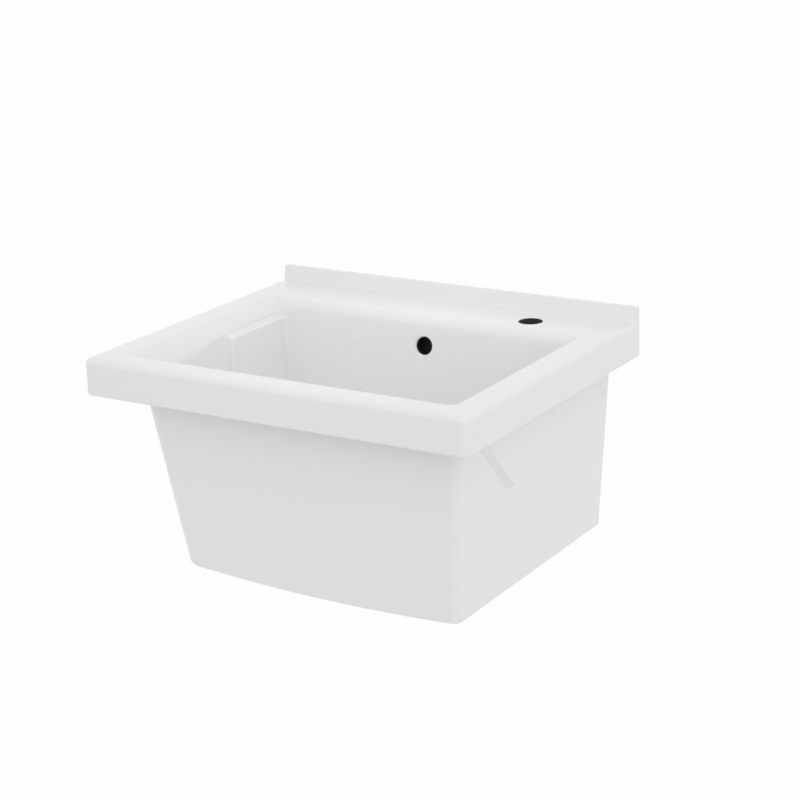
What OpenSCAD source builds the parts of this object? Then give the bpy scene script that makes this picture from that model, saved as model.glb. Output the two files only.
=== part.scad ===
// Wall-hung mop service sink: one glazed fireclay casting with a raised back
// edge, a tap hole and a cast overflow channel, and a lift-out basket waste.
// Millimetres. X runs to the right as seen from the front, Y towards the wall,
// Z up. The origin is on the wall plane, at the rim's top, in the middle.

/* [Rim] */
// Width of the rim
rim_w = 600; // [560:5:700]
// Depth of the rim, from the wall to its front
rim_d = 490; // [460:5:560]
// Height of the rim's apron
rim_h = 52; // [44:1:64]
// Thickness of the apron that hangs from the rim
apron_t = 12; // [10:1:15]
// Thickness of the deck round the bowl
deck_t = 14; // [12:1:18]
// Radius of the rim's upright corners
rim_corner_r = 10; // [6:1:16]
// Rounding of the rim's top edge
rim_edge_r = 9; // [5:1:12]
// Rounding of the apron's lower edge
apron_edge_r = 2; // [1:0.5:4]

/* [Back edge] */
// Height of the raised back edge above the deck
upstand_h = 20; // [14:1:40]
// Thickness of the raised back edge
upstand_t = 11; // [9:1:16]
// Rounding along the top of the back edge
upstand_top_r = 4; // [2:0.5:4.5]
// Cove between the back edge and the deck
upstand_cove_r = 8; // [4:1:12]

/* [Bowl] */
// Wall thickness of the bowl
wall_t = 11; // [9:0.5:13]
// Depth of the bowl below the rim's top, at its lowest line
bowl_depth = 296; // [240:4:330]
// Distance from the rim's front to the bowl's front wall
bowl_from_front = 46.5; // [42:0.5:60]
// Distance from the rim's right side to the bowl's right wall
bowl_from_right = 45.5; // [42:0.5:60]
// Distance from the rim's left side to the bowl's scrubbing wall
bowl_from_left = 71.5; // [68:0.5:90]
// Distance from the wall plane to the bowl's back wall
bowl_from_back = 118; // [112:1:140]
// Draft of the front, right and rear faces, in degrees
draft = 3.4; // [2:0.2:4.6]
// Slope of the scrubbing wall on the left, in degrees
scrub_slope = 9.8; // [6:0.2:11]
// Slope of the bowl's back wall, in degrees
back_slope = 11; // [7:0.5:12]
// Radius of the upright corners inside the bowl
bowl_corner_r = 10; // [8:1:16]
// Radius between the bowl's walls and its floor
bowl_floor_r = 25; // [16:1:32]
// Radius of the casting's upright corners outside
body_corner_r = 13; // [11:1:20]
// Radius of the front left upright corner outside
scrub_corner_r = 30; // [24:1:36]
// Rounding of the casting's lower edge
body_edge_r = 8; // [4:1:9]
// Radius of the arch in which the floor falls to its lowest line
floor_arch_r = 3000; // [2600:100:5000]
// Place of the floor's lowest line, right of the sink's middle
floor_low_x = 75; // [60:5:85]

/* [Bowl lip] */
// Depth of the rounding between the deck and the bowl
lip_h = 13; // [8:1:18]
// Width of that rounding at the front and on the right
lip_near = 10; // [6:1:14]
// Width of that rounding at the back
lip_back = 18; // [10:1:24]
// Width of that rounding above the scrubbing wall
lip_scrub = 33; // [20:1:36]

/* [Rear of the casting] */
// Gap between the wall plane and the casting's side cheeks
cheek_gap = 22; // [18:1:30]
// Rounding of the cheeks' lower rear corner
cheek_corner_r = 14; // [8:1:20]

/* [Corner block] */
// How far the cast block stands in from the scrubbing wall
block_out = 10; // [7:0.5:14]
// Length of the block, from the bowl's back wall
block_l = 132; // [100:2:160]
// Depth of the block's top below the rim's top
block_drop = 25; // [20:1:40]
// Rounding of the block's upright edge
block_r = 4; // [2:0.5:6]

/* [Side lugs] */
// Thickness of a lug at its lower tip
lug_t = 9; // [7:0.5:10]
// Distance from the rim's front to the lug's sloping edge at the rim
lug_from_front = 86; // [80:2:120]
// Height of a lug, from the rim's underside to its tip
lug_h = 98; // [80:2:110]
// Width of a lug's tip
lug_tip_w = 14; // [10:1:20]
// Height of the notch behind the tip
lug_notch_h = 18; // [12:1:24]
// Distance from the tip's rear to the lug's rear end
lug_seat_l = 110; // [80:5:130]
// Rounding in the notch
lug_notch_r = 7; // [4:1:9]

/* [Holes] */
// Diameter of the tap hole
tap_hole_d = 33; // [32:0.5:36]
// Tap hole's place right of the sink's middle
tap_x = 163; // [120:1:180]
// Tap hole's distance from the wall plane
tap_y = 68; // [60:1:78]
// Rounding round the tap hole's mouth
tap_lip_r = 2.5; // [1:0.5:3]
// Diameter of the overflow hole
overflow_d = 26; // [22:1:30]
// Overflow hole's place right of the sink's middle
overflow_x = 19; // [16:1:40]
// Depth of the overflow hole's centre below the rim's top
overflow_drop = 40; // [36:1:50]
// Rounding round the overflow hole's mouth
overflow_lip_r = 3; // [1:0.5:4]
// Diameter of the two wall-fixing holes
fixing_hole_d = 14; // [12:1:16]
// Distance between the wall-fixing holes
fixing_pitch = 280; // [200:10:320]
// Depth of the fixing holes' centres below the rim's top
fixing_drop = 32; // [26:1:36]

/* [Overflow channel] */
// Inner width of the cast channel
channel_w = 60; // [50:2:70]
// Inner depth of the channel
channel_d = 14; // [10:1:18]
// Wall thickness of the channel
channel_t = 8; // [6:0.5:10]

/* [Waste] */
// Waste's place right of the sink's middle
waste_x = 30; // [26:1:34]
// Waste's distance from the wall plane
waste_y = 262; // [255:1:275]
// Diameter of the waste hole in the casting
waste_hole_d = 90; // [88:1:94]
// Diameter of the strainer dish's flange
flange_d = 114; // [110:1:118]
// Depth of the flat recess that holds the flange
recess_drop = 3; // [2:0.5:5]
// Thickness of the two rubber seals
seal_t = 2.5; // [2:0.5:3]
// Thickness of the strainer dish's sheet
sheet_t = 1.5; // [1:0.1:1.6]
// Depth of the strainer dish below its flange
dish_depth = 34; // [32:1:38]
// Outer diameter of the outlet's thread
outlet_d = 47.8; // [42:0.1:48]
// Length of the outlet below the cup
outlet_l = 17; // [14:1:22]
// Diameter of the cup's flange
cup_flange_d = 116; // [114:1:120]
// Diameter of the cup's body
cup_d = 100; // [98:1:104]
// Wall thickness of the cup
cup_t = 3.5; // [3:0.1:4]
// Height of the cup's upright wall
cup_wall_h = 8; // [7:0.5:12]
// Height of the cup's cone
cup_cone_h = 7; // [6:0.5:12]
// Diameter of the eight drain holes in the dish
drain_hole_d = 10; // [8:0.5:10.5]
// Distance of the drain holes from the waste's axis
drain_hole_r = 20; // [19:0.5:21]

/* [Clamp screw] */
// Diameter of the clamp screw's shank
shank_d = 6; // [5:0.5:7]
// Diameter of the screw's sleeve-shaped head
sleeve_d = 15; // [14:0.5:16]
// Height of the sleeve-shaped head
sleeve_h = 18; // [16:1:18]
// Width of the driver slot across the sleeve
slot_w = 1.6; // [1:0.1:2]

/* [Basket] */
// Diameter of the basket's wall
basket_d = 72; // [68:1:74]
// Diameter of the basket's stem pin
pin_d = 8; // [7:0.5:8.5]
// Thickness of the stopper seal under the basket
stopper_t = 4; // [3:0.5:5]
// Diameter of the stopper seal
stopper_d = 57; // [54:1:58]
// Diameter of the knob
knob_d = 20; // [16:1:24]
// Height of the knob
knob_h = 11; // [9:1:14]
// Diameter of the drain holes in the basket
basket_hole_d = 4.5; // [3.5:0.5:5]

/* [Clearances] */
// Radial running clearance of the stem pin in the sleeve
run_fit = 0.08; // [0.04:0.01:0.1]
// Radial clearance between pieces that stand still
loose_fit = 0.3; // [0.2:0.05:0.5]

/* [Hidden] */
$fn = 64;

// Segments in each quarter turn of a cast corner, and in each cast rounding
corner_n = 6;
round_n = 4;
// How far a cut runs past the face it opens, and a joined lump into its wall
past = 1;
sunk = 6;
// Lengths beyond any side of the casting, for cutting planes
far = 400;

// Levels, down from the rim's top
floor_z = -bowl_depth;
under_z = floor_z - wall_t;
recess_z = floor_z - recess_drop;
boss_z = under_z - channel_d - channel_t;
flange_z = recess_z + seal_t;
dish_out_z = flange_z - dish_depth;
dish_in_z = dish_out_z + sheet_t;
washer_t = 1;
hub_z = dish_out_z - washer_t;
cup_z = boss_z - seal_t;

// The rim's outline as [left, right, front, back]
rim_box = [-rim_w / 2, rim_w / 2, -rim_d, 0];
recess_corner_r = 3;
// Gap between the dish's flange and the recess round it
recess_gap = 2;

// Corner radii are [front left, front right, back right, back left]
function even(r) = [r, r, r, r];
body_radii = [scrub_corner_r, body_corner_r, body_corner_r, body_corner_r];

// The inside and the outside of the bowl at height z, as such outlines
function bowl_box(z) = let (h = -lip_h - z) [
    -rim_w / 2 + bowl_from_left + h * tan(scrub_slope),
    rim_w / 2 - bowl_from_right - h * tan(draft),
    -rim_d + bowl_from_front + h * tan(draft),
    -bowl_from_back - h * tan(back_slope)];
function body_box(z) = let (b = bowl_box(z)) [
    b[0] - wall_t, b[1] + wall_t, b[2] - wall_t,
    -cheek_gap + (z + rim_h) * tan(draft)];

function grow(b, d) = [b[0] - d[0], b[1] + d[1], b[2] - d[2], b[3] + d[3]];
function corner(x, y, r, a0, z) = [for (i = [0:corner_n])
    let (a = a0 + 90 * i / corner_n) [x + r * cos(a), y + r * sin(a), z]];

// A rounded rectangle as a list of points at height z
function ring(b, r, z) = concat(
    corner(b[0] + r[0], b[2] + r[0], r[0], 180, z),
    corner(b[1] - r[1], b[2] + r[1], r[1], 270, z),
    corner(b[1] - r[2], b[3] - r[2], r[2], 0, z),
    corner(b[0] + r[3], b[3] - r[3], r[3], 90, z));

// The floor's arch lifts each point of a ring by its distance from the low line
function arched(points) = [for (p = points)
    [p[0], p[1], p[2] + pow(p[0] - floor_low_x, 2) / (2 * floor_arch_r)]];
function middle(b) = [(b[0] + b[1]) / 2, (b[2] + b[3]) / 2];
function shrunk(b, k) = let (m = middle(b)) [
    m[0] + (b[0] - m[0]) * k, m[0] + (b[1] - m[0]) * k,
    m[1] + (b[2] - m[1]) * k, m[1] + (b[3] - m[1]) * k];

// Rings of an arched floor, from near its middle out to its rounded edge.
// inside is true for the bowl's hollow and false for the casting's outside.
function floor_rings(z, r, inside) = let (
    box = inside ? bowl_box(z + r) : body_box(z + r),
    radii = inside ? even(bowl_corner_r) : body_radii,
    flat = grow(box, even(-r)))
    concat(
        [for (k = [0.3, 0.65]) arched(ring(shrunk(flat, k), even(bowl_corner_r / 2), z))],
        [for (i = [0:round_n]) let (a = 90 * i / round_n, d = -r * (1 - sin(a)))
            arched(ring(grow(box, even(d)), [for (c = radii) max(c + d / 2, c / 2)],
                z + r * (1 - cos(a))))]);

// A closed solid through rings that have the same number of points
module loft(rings) {
    n = len(rings[0]);
    m = len(rings);
    points = concat([for (ring = rings) each ring], [mean(rings[0])], [mean(rings[m - 1])]);
    sides = [for (j = [0:m - 2], i = [0:n - 1]) let (k = (i + 1) % n)
        each [[j * n + i, (j + 1) * n + i, (j + 1) * n + k],
              [j * n + i, (j + 1) * n + k, j * n + k]]];
    low = [for (i = [0:n - 1]) [m * n, i, (i + 1) % n]];
    high = [for (i = [0:n - 1]) [m * n + 1, (m - 1) * n + (i + 1) % n, (m - 1) * n + i]];
    polyhedron(points, concat(sides, low, high));
}
function mean(points) = [for (axis = [0:2])
    (min([for (p = points) p[axis]]) + max([for (p = points) p[axis]])) / 2];

// An upright prism on a rounded rectangle
module slab(b, r, z0, z1) {
    translate([0, 0, z0])
        linear_extrude(z1 - z0)
            polygon([for (p = ring(b, even(r), 0)) [p[0], p[1]]]);
}

// A profile of [y, z] points run along X from x0 to x1
module run_along_x(points, x0, x1) {
    translate([x0, 0, 0])
        rotate([90, 0, 90])
            linear_extrude(x1 - x0)
                polygon(points);
}

// A ring of count copies round the waste's axis, each at radius r
module round_waste(count, r, z) {
    translate([waste_x, -waste_y, z])
        for (i = [0:count - 1])
            rotate(360 * i / count)
                translate([r, 0, 0])
                    children();
}

// A turned piece on the waste's axis, from [radius, height] points
module turned(points) {
    translate([waste_x, -waste_y, 0])
        rotate_extrude()
            polygon(points);
}

// The rim: deck and apron, rounded along the top
module rim_block() {
    top = [for (i = [0:round_n]) let (a = 90 * i / round_n)
        ring(grow(rim_box, even(-rim_edge_r * (1 - cos(a)))), even(rim_corner_r),
            -rim_edge_r * (1 - sin(a)))];
    difference() {
        loft(concat(
            [ring(grow(rim_box, even(-apron_edge_r)), even(rim_corner_r), -rim_h),
             ring(rim_box, even(rim_corner_r), -rim_h + apron_edge_r)], top));
        slab(grow(rim_box, even(-apron_t)), recess_corner_r, -rim_h - past, -deck_t);
    }
}

// The raised back edge with its rounded top and the cove on the deck
module upstand() {
    r = upstand_top_r;
    c = upstand_cove_r;
    back = [for (a = [0:22.5:90]) [-r + r * cos(a), upstand_h - r + r * sin(a)]];
    front = [for (a = [90:22.5:180]) [r - upstand_t + r * cos(a), upstand_h - r + r * sin(a)]];
    cove = [for (a = [0:-15:-90]) [-upstand_t - c + c * cos(a), c + c * sin(a)]];
    intersection() {
        run_along_x(concat([[0, -deck_t / 2]], back, front, cove,
            [[-upstand_t - c, -deck_t / 2]]), -far, far);
        slab(rim_box, rim_corner_r, -deck_t, upstand_h + past);
    }
}

// The casting's outside below the deck, with the cheeks' rounded lower corner
module outer_body() {
    difference() {
        loft(concat(floor_rings(under_z, body_edge_r, false),
            [ring(body_box(-deck_t / 2), body_radii, -deck_t / 2)]));
        for (side = [0, 1]) cheek_corner(side);
    }
}

module cheek_corner(side) {
    r = cheek_corner_r;
    x = body_box(under_z)[side];
    z = under_z + pow(x - floor_low_x, 2) / (2 * floor_arch_r);
    y = body_box(z + r)[3];
    translate([x - wall_t * 2, 0, 0])
        difference() {
            translate([0, y - r, z - past])
                cube([wall_t * 4, r + past * 2, r + past]);
            translate([0, y - r, z + r])
                rotate([0, 90, 0])
                    cylinder(h = wall_t * 4, r = r);
        }
}

// The hollow of the bowl, with the rounded lip that opens onto the deck
module bowl_hollow() {
    lip = [for (i = [0:round_n]) let (a = 90 * i / round_n, d = 1 - cos(a))
        ring(grow(bowl_box(-lip_h), [lip_scrub * d, lip_near * d, lip_near * d, lip_back * d]),
            even(bowl_corner_r + lip_near * d), -lip_h + lip_h * sin(a))];
    top = [for (p = lip[round_n]) [p[0], p[1], past]];
    loft(concat(floor_rings(floor_z, bowl_floor_r, true), lip, [top]));
}

// The open space behind the bowl's back wall, between the cheeks
module rear_hollow() {
    low = under_z - channel_d - channel_t - past;
    function box(z) = let (b = bowl_box(z)) [b[0], b[1], b[3] + wall_t, -apron_t];
    loft([ring(box(low), even(recess_corner_r), low),
          ring(box(-deck_t), even(recess_corner_r), -deck_t)]);
}

// Places its children on the bowl's back wall, with local Y as its normal
module on_back_wall(x, drop) {
    translate([x, bowl_box(-drop)[3], -drop])
        rotate([-back_slope, 0, 0])
            children();
}

// The cast channel: down the back wall from the overflow, then under the floor
channel_box = [waste_x - channel_w / 2, waste_x + channel_w / 2];
channel_head = overflow_d / 2 + 5;
wall_n = wall_t * cos(back_slope);
function back_y(z, n) = bowl_box(z)[3] + n / cos(back_slope);

module channel_outside() {
    n = wall_n + channel_d + channel_t;
    top_z = -deck_t * 0.6;
    low_z = under_z + sunk;
    run_along_x([[back_y(top_z, wall_n / 2), top_z], [back_y(top_z, n), top_z],
        [back_y(boss_z, n), boss_z], [-waste_y, boss_z], [-waste_y, low_z],
        [back_y(low_z, wall_n / 2), low_z]],
        channel_box[0] - channel_t, channel_box[1] + channel_t);
}

module channel_inside() {
    n = wall_n + channel_d;
    top_z = -overflow_drop + channel_head;
    low_z = boss_z + channel_t;
    run_along_x([[back_y(top_z, wall_n), top_z], [back_y(top_z, n), top_z],
        [back_y(low_z, n), low_z], [-waste_y, low_z], [-waste_y, under_z],
        [back_y(under_z, wall_n), under_z]],
        channel_box[0], channel_box[1]);
}

// The thickened ring round the waste hole
module waste_boss() {
    translate([waste_x, -waste_y, boss_z])
        cylinder(h = under_z - boss_z + sunk, d = flange_d + wall_t);
}

// The waste hole with the flat recess round its mouth
module waste_hole() {
    translate([waste_x, -waste_y, boss_z - past])
        cylinder(h = recess_z - boss_z + past * 2, d = waste_hole_d);
    translate([waste_x, -waste_y, recess_z])
        cylinder(h = recess_drop * 3, d = flange_d + recess_gap * 2);
}

// A support lug on one side; side is 1 on the right and -1 on the left
lug_tip_z = -rim_h - lug_h;
lug_lean = 44;
lug_skew = 2.3;
lug_tip_y = -rim_d + lug_from_front + lug_h * tan(lug_lean);
lug_seat_z = lug_tip_z + lug_notch_h;

module lug(side) {
    r = lug_notch_r;
    notch_y = lug_tip_y + lug_tip_w;
    wall_x = body_box(lug_tip_z)[side > 0 ? 1 : 0];
    lean = side > 0 ? 0 : scrub_slope - draft;
    top_z = -deck_t - past;
    notch = [for (a = [180:-22.5:90]) [notch_y + r + r * cos(a), lug_seat_z - r + r * sin(a)]];
    outline = concat(
        [[lug_tip_y - (top_z - lug_tip_z) * tan(lug_lean), top_z], [lug_tip_y, lug_tip_z],
         [notch_y, lug_tip_z]], notch,
        [[notch_y + lug_seat_l, lug_seat_z], [notch_y + lug_seat_l, top_z]]);
    intersection() {
        run_along_x(outline, side > 0 ? 0 : -far, side > 0 ? far : 0);
        translate([wall_x + side * lug_t, lug_tip_y, lug_tip_z])
            rotate([0, side * lean, side * lug_skew])
                translate([side > 0 ? -wall_t * 2 : 0, -far, -far])
                    cube([wall_t * 2, far * 2, far * 2]);
    }
}

// The cast block in the bowl's left rear corner
module corner_block() {
    y0 = -bowl_from_back - block_l;
    radii = [1, block_r, 1, 1];
    function box(z, d) = let (b = bowl_box(z))
        [b[0] - wall_t / 2, b[0] + block_out - d, y0 + d, b[3] + wall_t / 2];
    z0 = floor_z - wall_t / 4;
    loft([
        ring(box(z0, 0), radii, z0),
        ring(box(-block_drop - block_r, 0), radii, -block_drop - block_r),
        ring(box(-block_drop - block_r / 3, block_r / 3), radii, -block_drop - block_r / 3),
        ring(box(-block_drop, block_r), radii, -block_drop)]);
}

// A bore down from z = 0 whose mouth is rounded with radius r
module lipped_bore(d, h, r) {
    translate([0, 0, -h])
        cylinder(h = h, d = d);
    rotate_extrude()
        polygon(concat(
            [[0, past], [0, -r - past], [d / 2, -r - past]],
            [for (a = [180:-22.5:90]) [d / 2 + r + r * cos(a), -r + r * sin(a)]],
            [[d / 2 + r, past]]));
}

module sink_body() {
    color([0.95, 0.95, 0.94])
        difference() {
            union() {
                difference() {
                    union() {
                        rim_block();
                        upstand();
                        outer_body();
                        lug(1);
                        lug(-1);
                    }
                    rear_hollow();
                }
                channel_outside();
                waste_boss();
            }
            difference() {
                bowl_hollow();
                corner_block();
            }
            channel_inside();
            waste_hole();
            translate([tap_x, -tap_y, 0])
                lipped_bore(tap_hole_d, deck_t + past, tap_lip_r);
            on_back_wall(overflow_x, overflow_drop)
                rotate([90, 0, 0])
                    lipped_bore(overflow_d, wall_n + past, overflow_lip_r);
            for (side = [-1, 1])
                translate([side * fixing_pitch / 2, past, -fixing_drop])
                    rotate([90, 0, 0])
                        cylinder(h = apron_t + past * 2, d = fixing_hole_d);
        }
}

// A flat ring on the waste's axis between two radii and two levels
module flat_ring(r0, r1, z0, z1) {
    turned([[r0, z0], [r1, z0], [r1, z1], [r0, z1]]);
}

// Rubber ring under the strainer dish's flange
module dish_seal() {
    color([0.12, 0.12, 0.13])
        flat_ring(waste_hole_d / 2 + loose_fit, flange_d / 2, recess_z, flange_z);
}

// Pressed steel dish with eight drain holes and a hole for the clamp screw
dish_top_r = waste_hole_d / 2 - 2;
dish_low_r = dish_top_r - 2;
drain_count = 8;

module strainer_dish() {
    t = sheet_t;
    hole_r = shank_d / 2 + loose_fit;
    color([0.78, 0.79, 0.8])
        difference() {
            turned([[hole_r, dish_out_z], [dish_low_r, dish_out_z], [dish_top_r, flange_z],
                [flange_d / 2 - t, flange_z], [flange_d / 2, flange_z + t / 3],
                [flange_d / 2 - t, flange_z + t], [dish_top_r - t / 2, flange_z + t],
                [dish_low_r - t, dish_in_z], [hole_r, dish_in_z]]);
            round_waste(drain_count, drain_hole_r, dish_out_z - past)
                cylinder(h = sheet_t + past * 2, d = drain_hole_d);
        }
}

// Rubber ring between the casting's underside and the cup
module cup_seal() {
    color([0.12, 0.12, 0.13])
        flat_ring(cup_d / 2 - cup_t, cup_flange_d / 2 - 2, cup_z, boss_z);
}

// Moulded cup under the casting: flange, shallow cone, outlet, hub on three ribs
cup_flange_t = 4;
cone_z = cup_z - cup_wall_h;
cone_in_z = cone_z + cup_t - past;
outlet_z = cone_z - cup_cone_h - outlet_l;
hub_r = 8;
hub_h = 12;
rib_count = 3;
rib_t = 4;
insert_r = 5;
insert_h = 10;

module cup_outside() {
    turned([[0, cup_z], [cup_flange_d / 2, cup_z], [cup_flange_d / 2, cup_z - cup_flange_t],
        [cup_d / 2, cup_z - cup_flange_t], [cup_d / 2, cone_z],
        [outlet_d / 2, cone_z - cup_cone_h], [outlet_d / 2, outlet_z], [0, outlet_z]]);
}

module cup_inside() {
    turned([[0, cup_z + past], [cup_d / 2 - cup_t, cup_z + past],
        [cup_d / 2 - cup_t, cone_in_z], [outlet_d / 2 - cup_t, cone_in_z - cup_cone_h],
        [outlet_d / 2 - cup_t, outlet_z - past], [0, outlet_z - past]]);
}

module waste_cup() {
    rib_drop = 2;
    color([0.93, 0.93, 0.92])
        difference() {
            union() {
                difference() {
                    cup_outside();
                    cup_inside();
                }
                flat_ring(0, hub_r, hub_z - hub_h, hub_z);
                intersection() {
                    cup_outside();
                    round_waste(rib_count, hub_r / 2, hub_z - hub_h + rib_drop)
                        translate([0, -rib_t / 2, 0])
                            cube([cup_d / 2, rib_t, hub_h - rib_drop * 2]);
                }
            }
            flat_ring(0, insert_r, hub_z - insert_h, hub_z + past);
            flat_ring(0, shank_d / 2 + loose_fit, hub_z - hub_h - past, hub_z);
        }
}

// Threaded brass bush pressed into the hub
module clamp_insert() {
    color([0.8, 0.66, 0.35])
        flat_ring(shank_d / 2 + run_fit, insert_r, hub_z - insert_h, hub_z);
}

// Nylon washer between the hub and the dish
module clamp_washer() {
    color([0.9, 0.89, 0.85])
        flat_ring(shank_d / 2 + loose_fit, hub_r, hub_z, dish_out_z);
}

// Clamp screw: a shank under a sleeve with a driver slot, which guides the stem
sleeve_top_z = dish_in_z + sleeve_h;
sleeve_floor_t = 1.5;
slot_h = 2.5;
shank_z = hub_z - insert_h + past / 2;

module clamp_screw() {
    bore_r = pin_d / 2 + run_fit;
    edge = 0.5;
    color([0.78, 0.79, 0.8])
        difference() {
            turned([[0, shank_z], [shank_d / 2, shank_z], [shank_d / 2, dish_in_z],
                [sleeve_d / 2, dish_in_z], [sleeve_d / 2, sleeve_top_z - edge],
                [sleeve_d / 2 - edge, sleeve_top_z], [bore_r, sleeve_top_z],
                [bore_r, dish_in_z + sleeve_floor_t], [0, dish_in_z + sleeve_floor_t]]);
            translate([waste_x - sleeve_d, -waste_y - slot_w / 2, sleeve_top_z - slot_h])
                cube([sleeve_d * 2, slot_w, slot_h + past]);
        }
}

// Rubber stopper ring that covers the dish's drain holes when pushed down
plate_z = dish_in_z + stopper_t;
dome_in_r = sleeve_d / 2 + loose_fit * 2;
stopper_in_r = dome_in_r + loose_fit;

module stopper_seal() {
    color([0.12, 0.12, 0.13])
        flat_ring(stopper_in_r, stopper_d / 2, dish_in_z, plate_z);
}

// Steel backing plate between the stopper ring and the basket
plate_t = 1;
basket_z = plate_z + plate_t;

module seal_plate() {
    color([0.78, 0.79, 0.8])
        flat_ring(stopper_in_r, stopper_d / 2 - 1, plate_z, basket_z);
}

// Perforated basket with a flat floor, an upright wall and a turned-out edge
basket_t = 1;
basket_top_z = recess_z;
basket_edge_r = basket_d / 2 + 4.5;
floor_hole_count = 18;
wall_hole_count = 12;

module basket() {
    r = basket_d / 2;
    t = basket_t;
    floor_hole_r = (r - t + stopper_d / 2) / 2;
    color([0.78, 0.79, 0.8])
        difference() {
            turned([[dome_in_r, basket_z], [r, basket_z], [r, basket_top_z - t],
                [basket_edge_r, basket_top_z - t], [basket_edge_r, basket_top_z],
                [r - t, basket_top_z], [r - t, basket_z + t], [dome_in_r, basket_z + t]]);
            round_waste(floor_hole_count, floor_hole_r, basket_z - past)
                cylinder(h = t + past * 2, d = basket_hole_d);
            for (k = [1, 2])
                rotate_about_waste(k * 180 / wall_hole_count)
                    round_waste(wall_hole_count, r - t - past, basket_z + k * basket_hole_d * 1.8)
                        rotate([0, 90, 0])
                            cylinder(h = t + past * 2, d = basket_hole_d);
        }
}

module rotate_about_waste(a) {
    translate([waste_x, -waste_y, 0])
        rotate(a)
            translate([-waste_x, waste_y, 0])
                children();
}

// Basket stem: pin in the sleeve, dome over it, post and spigot for the knob
foot_z = basket_z + basket_t;
foot_r = dome_in_r + 4;
dome_out_r = dome_in_r + 2;
dome_ceiling_z = sleeve_top_z + past;
dome_top_z = dome_ceiling_z + 2;
pin_z = dish_in_z + sleeve_floor_t + past / 2;
knob_z = recess_z;
spigot_r = pin_d / 2 - 1;
spigot_h = knob_h - 3;
catch_z = pin_z + 2;
catch_h = 2;
catch_depth = 1;

module basket_stem() {
    r = pin_d / 2;
    color([0.78, 0.79, 0.8])
        difference() {
            turned([[0, pin_z], [r - 0.5, pin_z], [r, pin_z + 0.5], [r, dome_ceiling_z],
                [dome_in_r, dome_ceiling_z], [dome_in_r, foot_z], [foot_r, foot_z],
                [foot_r, foot_z + 1], [dome_out_r, foot_z + 1], [dome_out_r, dome_ceiling_z],
                [dome_in_r - 1, dome_top_z], [r, dome_top_z], [r, knob_z],
                [spigot_r, knob_z], [spigot_r, knob_z + spigot_h], [0, knob_z + spigot_h]]);
            flat_ring(r - catch_depth, r + past, catch_z, catch_z + catch_h);
        }
}

// Nylon catch ring in the pin's groove, which drags in the sleeve
module stem_catch() {
    r = pin_d / 2;
    color([0.9, 0.89, 0.85])
        flat_ring(r - catch_depth + run_fit, r + run_fit / 2, catch_z, catch_z + catch_h);
}

// Turned knob with a waist, seated on the post's shoulder
module basket_knob() {
    r = knob_d / 2;
    bore_r = spigot_r + run_fit;
    color([0.15, 0.15, 0.16])
        turned([[bore_r, knob_z], [r * 0.7, knob_z], [r * 0.62, knob_z + knob_h * 0.3],
            [r - 1, knob_z + knob_h * 0.55], [r, knob_z + knob_h * 0.65],
            [r, knob_z + knob_h * 0.85], [r - 2, knob_z + knob_h], [0, knob_z + knob_h],
            [0, knob_z + spigot_h], [bore_r, knob_z + spigot_h]]);
}

sink_body();
dish_seal();
strainer_dish();
cup_seal();
waste_cup();
clamp_insert();
clamp_washer();
clamp_screw();
basket();
basket_stem();
stem_catch();
seal_plate();
stopper_seal();
basket_knob();
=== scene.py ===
import math

import bmesh
import bpy
import numpy as np
from mathutils import Matrix, Vector


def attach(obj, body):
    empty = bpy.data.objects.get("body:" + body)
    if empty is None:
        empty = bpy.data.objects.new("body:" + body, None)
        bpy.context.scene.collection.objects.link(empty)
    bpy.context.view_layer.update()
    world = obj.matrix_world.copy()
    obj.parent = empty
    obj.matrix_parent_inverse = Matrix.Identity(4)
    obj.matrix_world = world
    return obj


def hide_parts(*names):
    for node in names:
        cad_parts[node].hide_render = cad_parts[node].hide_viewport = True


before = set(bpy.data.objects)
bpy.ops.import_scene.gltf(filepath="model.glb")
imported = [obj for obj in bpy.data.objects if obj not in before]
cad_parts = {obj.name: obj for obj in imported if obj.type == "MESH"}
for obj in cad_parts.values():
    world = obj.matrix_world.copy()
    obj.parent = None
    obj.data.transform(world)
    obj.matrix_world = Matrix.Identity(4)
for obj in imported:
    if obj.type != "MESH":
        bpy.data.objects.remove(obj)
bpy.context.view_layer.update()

# Camera: the view that a studio takes of a sink for a catalogue, from beyond its
# front right corner and a little above the rim, through a long lens.
eye = Vector((1.54652, -2.62372, 0.81287))
turned, tipped, rolled = math.radians(32.1276), math.radians(17.6544), math.radians(-1.9683)
ahead = Vector((-math.sin(turned) * math.cos(tipped), math.cos(turned) * math.cos(tipped),
                -math.sin(tipped)))
level = Vector((math.cos(turned), math.sin(turned), 0))
upward = level.cross(ahead)
side_axis = math.cos(rolled) * level + math.sin(rolled) * upward
up_axis = math.cos(rolled) * upward - math.sin(rolled) * level

camera_data = bpy.data.cameras.new("studio_camera")
camera_data.lens = 96.26
camera_data.sensor_width = 36
camera_data.clip_end = 60
camera = bpy.data.objects.new("studio_camera", camera_data)
camera.matrix_world = Matrix.Translation(eye) @ Matrix(
    (side_axis, up_axis, -ahead)).transposed().to_4x4()
bpy.context.collection.objects.link(camera)
bpy.context.scene.camera = camera
bpy.context.scene.view_settings.view_transform = "Standard"

# Floor and light: the sink hangs on a wall at working height, so the plain white
# floor lies well below it. A pale room and two soft boxes light it, with a
# narrow lamp above for the inside of the bowl.
FLOOR_DROP = 0.86


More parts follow.
